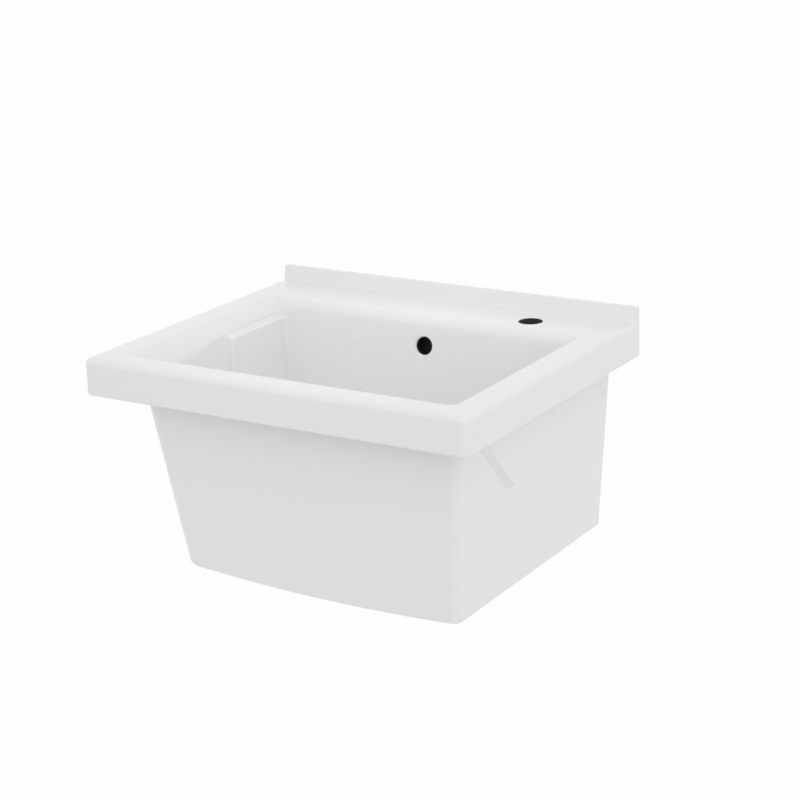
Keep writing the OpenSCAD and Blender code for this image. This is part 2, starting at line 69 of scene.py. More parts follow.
class Value:
    """A node's output, which joins in sums and products as a number does."""

    def __init__(self, tree, socket):
        self.tree = tree
        self.socket = socket

    def sum(self, operation, first, second):
        """The result of one Math node on values or plain numbers."""
        node = self.tree.nodes.new("ShaderNodeMath")
        node.operation = operation
        for place, value in enumerate((first, second)):
            if isinstance(value, Value):
                self.tree.links.new(value.socket, node.inputs[place])
            elif value is not None:
                node.inputs[place].default_value = value
        return Value(self.tree, node.outputs[0])

    def __add__(self, other): return self.sum("ADD", self, other)
    def __radd__(self, other): return self.sum("ADD", other, self)
    def __sub__(self, other): return self.sum("SUBTRACT", self, other)
    def __rsub__(self, other): return self.sum("SUBTRACT", other, self)
    def __mul__(self, other): return self.sum("MULTIPLY", self, other)
    def __rmul__(self, other): return self.sum("MULTIPLY", other, self)
    def __pow__(self, other): return self.sum("POWER", self, other)
    def __rpow__(self, other): return self.sum("POWER", other, self)
    def __abs__(self): return self.sum("ABSOLUTE", self, None)
    def over(self, edge): return self.sum("GREATER_THAN", self, edge)
    def most(self, other): return self.sum("MAXIMUM", self, other)

    def rise(self, low, high):
        """0 below low and 1 above high, with a smooth climb between."""
        node = self.tree.nodes.new("ShaderNodeMapRange")
        node.interpolation_type = "SMOOTHSTEP"
        self.tree.links.new(self.socket, node.inputs[0])
        node.inputs[1].default_value = low
        node.inputs[2].default_value = high
        return Value(self.tree, node.outputs[0])


class Finish:
    """The node tree of one surface or of the room."""

    def __init__(self, tree):
        self.tree = tree
        tree.nodes.clear()

    def node(self, kind, settings=None, sockets=None, out=0):
        """Adds a node: first its settings, then the values or links of its sockets."""
        node = self.tree.nodes.new(kind)
        for key, value in (settings or {}).items():
            if key == "stops":
                ramp = node.color_ramp
                while len(ramp.elements) > 1:
                    ramp.elements.remove(ramp.elements[-1])
                ramp.elements[0].position = value[0][0]
                ramp.elements[0].color = (*value[0][1], 1)
                for place, colour in value[1:]:
                    ramp.elements.new(place).color = (*colour, 1)
            else:
                setattr(node, key, value)
        for key, value in (sockets or {}).items():
            if isinstance(value, Value):
                self.tree.links.new(value.socket, node.inputs[key])
            elif isinstance(value, tuple) and len(value) == 3 and node.inputs[key].type == "RGBA":
                node.inputs[key].default_value = (*value, 1)
            else:
                node.inputs[key].default_value = value
        return Value(self.tree, node.outputs[out]) if node.outputs else None

    def mix(self, share, first, second):
        """A colour between two colours."""
        return self.node("ShaderNodeMix", {"data_type": "RGBA"}, {0: share, 6: first, 7: second}, 2)

    def part(self, vector, axis):
        """The X, Y or Z part of a vector, which is axis 0, 1 or 2."""
        return self.node("ShaderNodeSeparateXYZ", {}, {0: vector}, axis)

    def place(self):
        """The point's place in metres, in the sink's own frame."""
        return self.node("ShaderNodeTexCoord", out=3)

    def noise(self, scale, detail=2.0, roughness=0.5, at=None, distortion=0.0):
        return self.node("ShaderNodeTexNoise", {}, {
            "Vector": at or self.place(), "Scale": scale, "Detail": detail,
            "Roughness": roughness, "Distortion": distortion})

    def bump(self, strength, height):
        """A normal from a relief that is given in metres."""
        return self.node("ShaderNodeBump", {}, {
            "Strength": strength, "Distance": 1.0, "Height": height})


def seen_plainly(finish):
    """1 for rays that come from the camera or off something shiny or clear, or else 0."""
    camera_ray, glossy_ray, clear_ray = (
        finish.node("ShaderNodeLightPath", out=kind) for kind in (0, 3, 6))
    return camera_ray.most(glossy_ray).most(clear_ray)


room = bpy.data.worlds.new("pale_room")
room.use_nodes = True
bpy.context.scene.world = room
sky = Finish(room.node_tree)
direction = sky.node("ShaderNodeTexCoord", out=0)
lit = sky.node("ShaderNodeBackground", {}, {
    "Color": (1.0, 1.0, 1.0),
    "Strength": 0.715 + 0.07 * sky.part(direction, 0) - 0.04 * sky.part(direction, 1)})
seen = sky.node("ShaderNodeBackground", {}, {"Color": (1.0, 1.0, 1.0), "Strength": 1.0})
shown = sky.node("ShaderNodeMixShader", {}, {0: seen_plainly(sky), 1: lit, 2: seen})
sky.node("ShaderNodeOutputWorld", {}, {0: shown})

floor_mesh = bpy.data.meshes.new("studio_floor")
FLOOR_HALF = 30
floor_mesh.from_pydata([(x * FLOOR_HALF, y * FLOOR_HALF, -FLOOR_DROP)
                        for x, y in ((-1, -1), (1, -1), (1, 1), (-1, 1))], [], [(0, 1, 2, 3)])
floor = bpy.data.objects.new("studio_floor", floor_mesh)
bpy.context.collection.objects.link(floor)
floor_material = bpy.data.materials.new("white_floor")
floor_material.use_nodes = True
ground = Finish(floor_material.node_tree)
matt = ground.node("ShaderNodeBsdfDiffuse", {}, {"Color": (0.86, 0.86, 0.86), "Roughness": 0.5})
white = ground.node("ShaderNodeEmission", {}, {"Color": (1.0, 1.0, 1.0), "Strength": 1.0})
mixed = ground.node("ShaderNodeMixShader", {}, {0: seen_plainly(ground) * 0.96, 1: matt, 2: white})
ground.node("ShaderNodeOutputMaterial", {}, {0: mixed})
floor_mesh.materials.append(floor_material)


def lamp_at(name, kind, at, aim, watts):
    """A lamp that stands at one place and looks at another."""
    lamp = bpy.data.lights.new(name, kind)
    lamp.energy = watts
    holder = bpy.data.objects.new(name, lamp)
    holder.location = at
    holder.rotation_euler = (Vector(aim) - Vector(at)).to_track_quat("-Z", "Y").to_euler()
    bpy.context.collection.objects.link(holder)
    return lamp


front_box = lamp_at("front_box", "AREA", (0.3, -2.2, 2.3), (0.0, -0.25, -0.1), 8.5)
front_box.shape, front_box.size, front_box.size_y = "RECTANGLE", 2.4, 2.0
right_box = lamp_at("right_box", "AREA", (2.6, -0.6, 0.9), (0.0, -0.25, -0.15), 4.6)
right_box.shape, right_box.size, right_box.size_y = "RECTANGLE", 1.6, 1.6
bowl_fill = lamp_at("bowl_fill", "SPOT", (-0.4, -0.55, 2.7), (0.02, -0.25, -0.1), 40)
bowl_fill.spot_size, bowl_fill.spot_blend = math.radians(11), 1.0
bowl_fill.shadow_soft_size = 0.15

# The casting: one piece of glazed fireclay, slip cast with its rim, raised back
# edge, side lugs, overflow channel and waste boss, then glazed all over except
# on the face that goes against the wall.
MM = 0.001
RIM = [-300.0, 300.0, -490.0, 0.0]  # left, right, front, back; the deck is at z = 0
RIM_RADII = [10.0, 10.0, 3.0, 3.0]  # front left, front right, back right, back left
EDGE = 9.0  # radius of the rim's upper edge
APRON = 12
APRON_LOW = -52.0
DECK_UNDER = -14.0
LIP = 13.0
WALL = 11.0
BACK_SLOPE = 11  # degrees that the bowl's back wall leans
FLOOR = -296.0  # the floor's lowest line, which runs from front to back at LOW_LINE_X
LOW_LINE_X = 75.0
ARCH_R = 3000.0  # the floor rises from there to both sides along this radius
UNDER = FLOOR - WALL
KEEL = UNDER - 2.7  # the body's outside ends a little lower
WASTE = (30.0, -262.0)
CORNER_STEPS = 12
BLOCK_OUT = 11.0  # how far the block in the left rear corner stands out from the wall
BLOCK_TOP = -23.6
BLOCK_END = -249.0  # its front end at z = 0, which leans
BLOCK_LEAN = 11.5
BLOCK_R = 2.6


def slope(degrees):
    return math.tan(math.radians(degrees))


def bowl_at(z):
    drop = -LIP - z
    return np.array([-235.5 + drop * slope(11), 254.5 - drop * slope(3.4),
                     -443.5 + drop * slope(3.4), -118.0 - drop * slope(BACK_SLOPE)])


def outside_at(z):
    drop = -LIP - z
    return np.array([-244.4 + drop * slope(10.5), 265.5 - drop * slope(2.9),
                     bowl_at(z)[2] - WALL, -18.0 + (z - APRON_LOW) * slope(3.2)])


def step_path(size, radius, steps=4, lean=84):
    """A rounded step as points [along, up], from a hollow curve to a crowned one."""
    turn = math.radians(lean)
    rounded = [(radius * math.sin(turn * k / steps), radius * (1 - math.cos(turn * k / steps)))
               for k in range(steps + 1)]
    along, up = rounded[-1]
    reach = 2 * along + (size - 2 * up) / math.tan(turn)
    return rounded + [(reach - a, size - u) for a, u in reversed(rounded)]


block_step = step_path(BLOCK_OUT, BLOCK_R)
block_reach = block_step[-1][0]
# Columns of the left side at the block's front end: place along Y and share of the step
block_columns = [(BLOCK_END - block_reach / 2 + along, up / BLOCK_OUT)
                 for along, up in reversed(block_step)]


def spread(count):
    return [(k + 1) / (count + 1) for k in range(count)]


def outline(box, radii, block=0.0, plain=False, lean=0.0):
    """One closed ring of [x, y] with the same columns at every level. A plain ring has
    none of the columns that follow the block in the bowl's corner; lean moves its end."""
    x0, x1, y0, y1 = box
    fl, fr, br, bl = radii
    points = []

    def corner(cx, cy, r, start):
        for k in range(CORNER_STEPS + 1):
            angle = math.radians(start + 90 * k / CORNER_STEPS)
            points.append((cx + r * math.cos(angle), cy + r * math.sin(angle)))

    corner(x0 + fl, y0 + fl, fl, 180)
    points.extend((x0 + fl + (x1 - fr - x0 - fl) * t, y0) for t in spread(26))
    corner(x1 - fr, y0 + fr, fr, 270)
    points.extend((x1, y0 + fr + (y1 - br - y0 - fr) * t) for t in spread(20))
    corner(x1 - br, y1 - br, br, 0)
    points.extend((x1 - br + (x0 + block + bl - x1 + br) * t, y1) for t in spread(26))
    corner(x0 + block + bl, y1 - bl, bl, 90)
    if plain:
        points.extend((x0, y1 - bl + (y0 + fl - y1 + bl) * t) for t in spread(12))
        return np.array(points)
    first, last = block_columns[0][0] + lean, block_columns[-1][0] + lean
    points.extend((x0 + block, y1 - bl + (first - y1 + bl) * t) for t in spread(8))
    points.extend((x0 + block * share, y + lean) for y, share in block_columns)
    points.extend((x0, last + (y0 + fl - last) * t) for t in spread(10))
    return np.array(points)


def wall_line(box_at, radii, block=0.0, plain=False):
    """The ring at any height: where each column meets z = 0 and how it slopes."""
    base = outline(box_at(0.0), radii, block, plain)
    return base, outline(box_at(1.0), radii, block, plain, slope(BLOCK_LEAN)) - base


def on_wall(line, z):
    z = np.broadcast_to(z, (len(line[0]),))
    return np.column_stack([line[0] + line[1] * z[:, None], z])


def soft_step(share):
    share = np.clip(share, 0.0, 1.0)
    return share * share * (3 - 2 * share)


def arch(x):
    return (x - LOW_LINE_X) ** 2 / (2 * ARCH_R)


def level(box, radii, z):
    """The ring of a box with rounded corners, at one height."""
    points = outline(box, radii)
    return np.column_stack([points, np.full(len(points), float(z))])


def arched(points, z):
    """The points on the arched surface whose lowest line is at z."""
    return np.column_stack([points, z + arch(points[:, 0])])


def grown(box, left, right, front, back):
    return np.array([box[0] - left, box[1] + right, box[2] - front, box[3] + back])


def grown_all(box, by):
    return grown(box, by, by, by, by)


def fan(ring, shares, z):
    """Rings between the waste and one ring, on the arched surface at z."""
    centre = np.array(WASTE)
    return [arched(centre + (ring[:, :2] - centre) * share, z) for share in shares]


def blend_rings(first, knee, last, steps, weight=0.7071):
    """Rings between first and last along a rounded bend, tangent to the lines at knee."""
    rings = []
    for k in range(1, steps):
        t = k / steps
        a, b, c = (1 - t) ** 2, 2 * weight * t * (1 - t), t * t
        rings.append((a * first + b * knee + c * last) / (a + b + c))
    return rings


def casting_rings():
    """Rings over the casting's skin: underside, outside, rim, deck, lip, bowl, floor."""
    rings = []
    out_radii = [26.0, 12.0, 3.5, 3.5]
    out_line = wall_line(outside_at, out_radii)

    # Underside and its rounded edge
    keel_edge = 4.0
    knee = arched(on_wall(out_line, KEEL)[:, :2], KEEL)
    start = on_wall(out_line, knee[:, 2] + keel_edge)
    inner = arched(outline(grown_all(outside_at(KEEL), -keel_edge), [22.0, 8.0, 1.2, 1.2]), KEEL)
    rings += fan(inner, (0.12, 0.3, 0.5, 0.75), KEEL) + [inner]
    rings += blend_rings(inner, knee, start, 7) + [start]

    # Outer walls up to the recess under the deck. The left one flares out to go round the lip.
    bend = 3.0

    def flared(ring):
        """Moves the left wall outwards, up to 3 mm under the apron's edge and 15 at the deck."""
        share = soft_step((-212.0 - ring[:, 0]) / 24.0)
        ring[:, 0] -= share * (3.0 * np.clip((ring[:, 2] + 78.0) / 26.0, 0, 1) ** 2
                               + 12.0 * np.clip((ring[:, 2] + 50.0) / 36.0, 0, 1) ** 2)
        return ring

    for t in spread(14):
        z = start[:, 2] + (DECK_UNDER - bend - start[:, 2]) * (1 - (1 - t) ** 1.6)
        rings.append(flared(on_wall(out_line, z)))
    top = flared(on_wall(out_line, DECK_UNDER - bend))
    corner = flared(on_wall(out_line, DECK_UNDER))
    away = flared(level(grown_all(outside_at(DECK_UNDER), bend), [r + bend for r in out_radii],
                        DECK_UNDER))
    rings += [top] + blend_rings(top, corner, away, 4) + [away]

    # Inside of the apron, its lower edge, the outer face and the rounded top edge
    hang, hang_radii = grown_all(RIM, -APRON), [4.0] * 4
    close = level(grown_all(hang, -bend), [3.0] * 4, DECK_UNDER)
    knee = level(hang, hang_radii, DECK_UNDER)
    low = level(hang, hang_radii, DECK_UNDER - bend)
    rings += [close] + blend_rings(close, knee, low, 4) + [low]
    soft = 2.0
    inside_low = level(hang, hang_radii, APRON_LOW + soft)
    turn_in = level(hang, hang_radii, APRON_LOW)
    bottom_in = level(grown_all(hang, soft), [5.0] * 4, APRON_LOW)
    bottom_out = level(grown_all(RIM, -soft), [8.0, 8.0, 1.2, 1.2], APRON_LOW)
    turn_out = level(RIM, RIM_RADII, APRON_LOW)
    outside_low = level(RIM, RIM_RADII, APRON_LOW + soft)
    rings += [low + (inside_low - low) * t for t in spread(2)]
    rings += [inside_low] + blend_rings(inside_low, turn_in, bottom_in, 4) + [bottom_in]
    rings += [bottom_out] + blend_rings(bottom_out, turn_out, outside_low, 4) + [outside_low]
    outside_top = level(RIM, RIM_RADII, -EDGE)
    rings += [outside_low + (outside_top - outside_low) * t for t in spread(2)] + [outside_top]
    for k in range(1, 9):
        angle = math.pi / 2 * k / 8
        inset = EDGE * (1 - math.cos(angle))
        rings.append(level(grown(RIM, -inset, -inset, -inset, 0.0),
                           [max(r - inset, 1.6) for r in RIM_RADII],
                           -EDGE + EDGE * math.sin(angle)))

    # Deck, then the lip down into the bowl. Above the scrubbing wall it is wide and flat, and
    # it reaches lowest in front of the block.
    deck_edge = rings[-1]
    bowl_radii = [24.0, 10.0, 10.0, 5.0]
    bowl_line = wall_line(bowl_at, bowl_radii)
    mouth_box = grown(bowl_at(-LIP), 22.0, 10, 10, 15)
    mouth = level(mouth_box, [5.0, 16.0, 16.0, 6.0], 0.0)
    brim = level(grown(mouth_box, 2.4, 0.8, 0.8, 0.8), [7.0, 16.0, 16.0, 7.0], 0.0)
    rings += [deck_edge + (brim - deck_edge) * t for t in spread(3)] + [brim]
    left = soft_step((-236.0 - mouth[:, 0]) / 24.0)
    knee_z = left * -2.0
    end_z = -LIP - left * (7.0 + 12.0 * soft_step((-245.0 - mouth[:, 1]) / 110.0))
    fall = [mouth] + blend_rings(mouth, on_wall(bowl_line, knee_z), on_wall(bowl_line, end_z), 24,
                                 0.7071 - 0.45 * left[:, None])
    rings += blend_rings(brim, mouth, fall[2], 4) + fall[2::2] + [on_wall(bowl_line, end_z)]

    # Bowl's walls, with the block's ledge, down to the rounding above the floor
    below = end_z
    for along, up in block_step:
        below = np.minimum(BLOCK_TOP + block_reach / 2 - along, below - 0.6)
        rings.append(on_wall(wall_line(bowl_at, bowl_radii, up), below))
    line = wall_line(bowl_at, bowl_radii, BLOCK_OUT)
    knee = arched(on_wall(line, FLOOR)[:, :2], FLOOR)
    radius = 25.0
    start = on_wall(line, knee[:, 2] + radius)
    last = rings[-1]
    rings += [on_wall(line, last[:, 2] + (start[:, 2] - last[:, 2]) * t) for t in spread(7)]
    inner = arched(outline(grown_all(bowl_at(FLOOR), -radius), [5.0] * 4, BLOCK_OUT), FLOOR)
    rings += [start] + blend_rings(start, knee, inner, 10) + [inner]
    return rings + fan(inner, (0.8, 0.6, 0.42, 0.25, 0.1), FLOOR)


def solid_from_rings(name, rings, tube=False):
    """A closed solid through rings of points in millimetres, capped at its ends or closed
    on itself."""
    count, rows = len(rings[0]), len(rings)
    faces = [(j * count + i, j * count + (i + 1) % count,
              (j + 1) % rows * count + (i + 1) % count, (j + 1) % rows * count + i)
             for j in range(rows if tube else rows - 1) for i in range(count)]
    if not tube:
        faces += [tuple(range(count))[::-1], tuple(range((rows - 1) * count, rows * count))]
    mesh = bpy.data.meshes.new(name)
    mesh.from_pydata((np.vstack(rings) * MM).tolist(), [], faces)
    shape = bmesh.new()
    shape.from_mesh(mesh)
    bmesh.ops.recalc_face_normals(shape, faces=shape.faces)
    shape.to_mesh(mesh)
    shape.free()
    piece = bpy.data.objects.new(name, mesh)
    bpy.context.collection.objects.link(piece)
    return piece


def modifiers_applied(piece):
    """Puts what the piece's modifier makes of its mesh in place of its mesh."""
    made = bpy.data.meshes.new_from_object(
        piece.evaluated_get(bpy.context.evaluated_depsgraph_get()))
    piece.modifiers.clear()
    piece.data = made


def joined(piece, tool, operation):
    """Adds or takes away another solid, and removes it from the scene."""
    step = piece.modifiers.new("step", "BOOLEAN")
    step.operation, step.solver, step.object = operation, "EXACT", tool
    modifiers_applied(piece)
    bpy.data.objects.remove(tool)


def turned_solid(name, profile, steps=64, centre=WASTE, closed=False):
    """A solid turned round an upright axis, from [radius, z] points that end on the axis,
    or from a closed loop of them."""
    angles = np.linspace(0, 2 * math.pi, steps, endpoint=False)
    ring = np.column_stack([np.cos(angles), np.sin(angles)])
    rings = [np.column_stack([np.array(centre) + ring * max(r, 0.002), np.full(steps, float(z))])
             for r, z in profile]
    return solid_from_rings(name, rings, tube=closed)


def rounded_loop(points, radii, steps=5):
    """A closed loop of two-way points with each corner rounded by its own radius."""
    points = [np.array(p, float) for p in points]
    loop = []
    for k, here in enumerate(points):
        before, after = points[k - 1], points[(k + 1) % len(points)]
        radius = radii[k] if isinstance(radii, list) else radii
        back, on = before - here, after - here
        long_back, long_on = np.hypot(*back), np.hypot(*on)
        cut = min(radius, long_back * 0.49, long_on * 0.49)
        if cut <= 0:
            loop.append(tuple(here))
            continue
        start, end = here + back / long_back * cut, here + on / long_on * cut
        for j in range(steps + 1):
            t = j / steps
            a, b, c = (1 - t) ** 2, 1.4142 * t * (1 - t), t * t
            loop.append(tuple((a * start + b * here + c * end) / (a + b + c)))
    return loop


def run_along_x(name, profile, x0, x1, ends=0.0):
    """A closed [y, z] profile run along X, its two ends rounded over by the radius ends."""
    profile = np.array(profile, float)
    turns = [math.radians(18 * k) for k in range(6)] if ends else [math.pi / 2]
    cuts = [(x0 + ends * (1 - math.cos(a)), ends * (1 - math.sin(a))) for a in turns]
    cuts += [(x1 - ends * (1 - math.cos(a)), ends * (1 - math.sin(a))) for a in reversed(turns)]
    return solid_from_rings(name, [
        np.column_stack([np.full(len(profile), x), drawn_in(profile, inset)])
        for x, inset in cuts])


def drawn_in(profile, inset):
    """The closed [y, z] profile with each side moved in by inset."""
    if not inset:
        return profile
    previous, following = np.roll(profile, 1, axis=0), np.roll(profile, -1, axis=0)

    def normal(a, b):
        line = b - a
        line = line / max(np.hypot(*line), 1e-9)
        return np.array([-line[1], line[0]])

    area = 0.5 * np.sum(profile[:, 0] * following[:, 1] - following[:, 0] * profile[:, 1])
    sign = 1.0 if area > 0 else -1.0
    moved = []
    for a, b, c in zip(previous, profile, following):
        n0, n1 = normal(a, b) * sign, normal(b, c) * sign
        both = n0 + n1
        moved.append(b + both * inset / max(1.0 + float(n0 @ n1), 0.35))
    return np.array(moved)


casting = solid_from_rings("casting", casting_rings())


# The rear hollow between the cheeks, open behind and below
def hollow_at(z):
    bowl = bowl_at(z)
    return np.array([bowl[0], bowl[1], bowl[3] + WALL, -12.04])


hollow_line = wall_line(hollow_at, [3.0] * 4, plain=True)
hollow_top = DECK_UNDER - 0.02
hollow_end = outline(grown_all(hollow_at(DECK_UNDER), -3.0), [2.0] * 4, plain=True)
hollow_end = np.column_stack([hollow_end, np.full(len(hollow_end), hollow_top)])
hollow_rings = [on_wall(hollow_line, z) for z in (-340.0, -150.0, hollow_top - 3.0)]
hollow_rings += blend_rings(hollow_rings[-1], on_wall(hollow_line, hollow_top), hollow_end, 4)
hollow = solid_from_rings("hollow", hollow_rings + [hollow_end])
joined(casting, hollow, "DIFFERENCE")


# Raised back edge with its cove on the deck
def arc(centre, radius, angles):
    return [(centre[0] + radius * math.cos(math.radians(a)),
             centre[1] + radius * math.sin(math.radians(a))) for a in angles]


BACK_EDGE = 20.0
edge_profile = np.array(
    [(0.0, -12.0)] + arc((-2, BACK_EDGE - 2), 2, range(0, 91, 15))
    + arc((-4.6, BACK_EDGE - 2), 2, range(90, 156, 13)) + arc((-19, 9), 9, range(-25, -87, -8))
    + [(-21.0, -0.12), (-21.0, -12.0)])


def fallen(x, radius):
    """How far a rounded end of this radius has dropped at x."""
    share = min(1.0, max(0.0, abs(x) - RIM[1] + radius) / radius)
    return radius * (1 - math.sqrt(1 - share ** 2))


def back_edge_at(x):
    """The profile at x. At each end it thins round the corner, its top drops and its foot
    follows the rim's rounded edge."""
    depth, round_end = 11.0, 3.0
    thin = (depth - fallen(x, round_end)) / depth
    y, z = edge_profile[:, 0], edge_profile[:, 1]
    y = np.where(y > -depth, -depth + (y + depth) * thin, y)
    z = np.where(z > 0, z * (1 - fallen(x, 1.6) / BACK_EDGE), z)
    sunk = fallen(x, EDGE)
    z = z - (sunk + min(sunk, 0.9)) * np.clip(1 - z / 12, 0, 1)
    return np.column_stack([np.full(len(y), x), y, z])


corner_places = [RIM[1] - EDGE + EDGE * math.sin(math.radians(a)) for a in range(0, 91, 6)]
end_to_end = [-x for x in reversed(corner_places)] + corner_places
back_edge = solid_from_rings("back_edge", [back_edge_at(x) for x in end_to_end])
joined(casting, back_edge, "UNION")


# Overflow channel: a hollow rib down the back wall and under the floor to the waste
def back_wall_y(z, proud):
    """Where a surface that stands proud of the bowl's back wall lies at this height."""
    return bowl_at(z)[3] + proud / math.cos(math.radians(BACK_SLOPE))


WALL_ACROSS = WALL * math.cos(math.radians(BACK_SLOPE))
BOSS = UNDER - 22.0
RIB_HALF, WAY_HALF = 38, 30
rib_back, rib_mid, rib_top, rib_low = WALL_ACROSS + 22.0, WALL_ACROSS / 2, -8.4, BOSS + 0.4
rib = run_along_x("rib", rounded_loop(
    [(back_wall_y(rib_top, rib_mid), rib_top), (back_wall_y(rib_top, rib_back), rib_top),
     (back_wall_y(rib_low, rib_back), rib_low), (WASTE[1], rib_low), (WASTE[1], UNDER + 6),
     (back_wall_y(UNDER + 6, rib_mid), UNDER + 6)], [0, 0, 9, 0, 0, 0]),
    WASTE[0] - RIB_HALF, WASTE[0] + RIB_HALF, ends=3.5)
joined(casting, rib, "UNION")
boss = turned_solid("boss", [(0, BOSS), (59.5, BOSS), (61.5, BOSS + 0.6), (62.5, BOSS + 2.6),
                             (62.5, UNDER + 5), (0, UNDER + 5)], 96)
joined(casting, boss, "UNION")
bore = WALL_ACROSS + 14.0
way = run_along_x("way", [(back_wall_y(-22, WALL_ACROSS), -22), (back_wall_y(-22, bore), -22),
                          (back_wall_y(BOSS + 8, bore), BOSS + 8), (WASTE[1], BOSS + 8),
                          (WASTE[1], UNDER), (back_wall_y(UNDER, WALL_ACROSS), UNDER)],
                  WASTE[0] - WAY_HALF, WASTE[0] + WAY_HALF)
joined(casting, way, "DIFFERENCE")

# Waste hole with the flat recess round its mouth
RECESS = FLOOR - 3.0
hole = turned_solid("hole", [
    (0, BOSS - 1), (45, BOSS - 1), (45, RECESS - 1.2), (45.5, RECESS - 0.3), (46.6, RECESS),
    (59, RECESS), (59.4, RECESS + 0.8), (60.6, RECESS + 3.4), (62.6, RECESS + 6.5),
    (0, RECESS + 6.5)], 96)
joined(casting, hole, "DIFFERENCE")


# Tap hole and overflow hole with fire-rounded mouths, and the two wall-fixing holes
def mouthed_bore(radius, lip, deep, past=2.0):
    """Profile of a cutter whose mouth opens in a curve of radius lip, and ends past it."""
    profile = [(0, -deep), (radius, -deep), (radius, -lip)]
    last = 72
    for k in range(1, 9):
        angle = math.radians(last * k / 8)
        profile.append((radius + lip * (1 - math.cos(angle)), -lip + lip * math.sin(angle)))
    run = (past - profile[-1][1]) / math.tan(math.radians(90 - last))
    return profile + [(profile[-1][0] + run, past), (0, past)]


TAP = (163.0, -68.0)  # x and y
TAP_R = 16.5
OVERFLOW = (19.0, -40.0)  # x and z
OVERFLOW_R = 13.0
tap_bore = turned_solid("tap_bore", mouthed_bore(TAP_R, 2.5, 16), 72, TAP)
joined(casting, tap_bore, "DIFFERENCE")
overflow = turned_solid("overflow", mouthed_bore(OVERFLOW_R, 3.0, WALL_ACROSS + 2), 72, (0.0, 0.0))
overflow.data.transform(Matrix.Translation(
    (OVERFLOW[0] * MM, bowl_at(OVERFLOW[1])[3] * MM, OVERFLOW[1] * MM))
    @ Matrix.Rotation(math.radians(90 - BACK_SLOPE), 4, "X"))
joined(casting, overflow, "DIFFERENCE")
for x in (-140.0, 140.0):
    fixing = turned_solid("fixing", [(0, -14.0), (7, -14.0), (7, 2.0), (0, 2.0)], 40, (0.0, 0.0))
    fixing.data.transform(Matrix.Translation((x * MM, 0.0, -0.032))
                          @ Matrix.Rotation(math.radians(-90), 4, "X"))
    joined(casting, fixing, "DIFFERENCE")


def side_lug(side):
    """A bracket lug on one side: a long seat, a notch and a tip with a sloping front."""
    tip_y, tip_z, notch_y, seat_z, end_y, front_slope = -309.4, -150.0, -295.4, -132.0, -185.4, 44
    wall_side = 1 if side > 0 else 0
    top_z = -20.0 if side > 0 else -48.0
    lean = 0.0 if side > 0 else slope(6.4)
    wall_at_tip = outside_at(tip_z)[wall_side]

    def ring(share, front, flare):
        """The lug's outline where share of it stands out, moved forward and flared."""
        push = front / math.cos(math.radians(front_slope))
        loop = [(tip_y - (top_z - tip_z) * slope(front_slope) - push, top_z),
                (tip_y - push + flare * slope(front_slope), tip_z - flare),
                (notch_y + flare, tip_z - flare)]
        loop += [(notch_y + 7 - (7 - flare) * math.cos(math.radians(a)),
                  seat_z - 7 + (7 - flare) * math.sin(math.radians(a))) for a in range(0, 91, 15)]
        loop += [(end_y + flare, seat_z - flare), (end_y + flare, top_z)]
        points = []
        for y, z in loop:
            wall = outside_at(z)[wall_side]
            face = wall_at_tip + side * (9.0 - (y - tip_y) * slope(2.3) + (z - tip_z) * lean)
            proud = side * (face - wall)
            out = -5.4 if share < 0 else proud * share if proud > 0 else proud - 1 + share
            points.append((wall + side * out, y, z))
        return np.array(points)

    return solid_from_rings("lug", [ring(*each) for each in (
        (-0.6, 8.9, 2.2), (0.0, 8.7, 1.8), (0.1, 8.0, 1.0), (0.3, 6.3, 0.6), (0.8, 1.9, 0.3),
        (0.92, 0.75, 0.1), (1.0, -0.1, -0.5))])


for side in (1, -1):
    joined(casting, side_lug(side), "UNION")

# The left edge of the rim runs a little inwards towards the wall, here in metres
run_in, run_from, run_over = 0.0045, -0.262, 0.026
for corner in casting.data.vertices:
    share = min(1.0, max(0.0, (run_from - corner.co.x) / run_over))
    corner.co.x += run_in * share * (1 - corner.co.y / (RIM[2] * MM))


def smooth_shaded(piece, angle=36.0, weighted=True):
    """Smooth shading with crisp edges where two faces meet at a sharp angle."""
    shape = bmesh.new()
    shape.from_mesh(piece.data)
    bmesh.ops.remove_doubles(shape, verts=shape.verts, dist=0.00001)
    bmesh.ops.dissolve_degenerate(shape, edges=shape.edges, dist=0.000005)
    for face in shape.faces:
        face.smooth = True
    for line in shape.edges:
        line.smooth = not (len(line.link_faces) == 2
                           and line.calc_face_angle(0.0) > math.radians(angle))
    shape.to_mesh(piece.data)
    shape.free()
    if weighted:
        step = piece.modifiers.new("shade", "WEIGHTED_NORMAL")
        step.keep_sharp = True
        step.weight = 60
        modifiers_applied(piece)


smooth_shaded(casting)


def surface(name):
    """A new material with its Finish, to be ended with finished()."""
    material = bpy.data.materials.new(name)
    material.use_nodes = True
    return material, Finish(material.node_tree)


def finished(finish, sockets):
    """Puts a Principled shader with these values and links on the surface."""
    shader = finish.node("ShaderNodeBsdfPrincipled", {}, sockets)
    finish.node("ShaderNodeOutputMaterial", {}, {0: shader})


def dressed(piece, material, body):
    """Gives a new piece its material and its body."""
    piece.data.materials.clear()
    piece.data.materials.append(material)
    for face in piece.data.polygons:
        face.material_index = 0
    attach(piece, body)


glaze_material, glaze = surface("white_glaze")
point = glaze.place()
across, depth, height = (glaze.part(point, axis) for axis in range(3))

# Bare clay on the face against the wall, with a ragged edge where the glaze was wiped off
facing_back = glaze.part(glaze.node("ShaderNodeNewGeometry", out=1), 1)
ragged = glaze.noise(60.0, 3.0)
bare = (depth * 1000.0 + ragged * 1.2).rise(-1.6, -0.4) * facing_back.rise(0.6, 0.9)
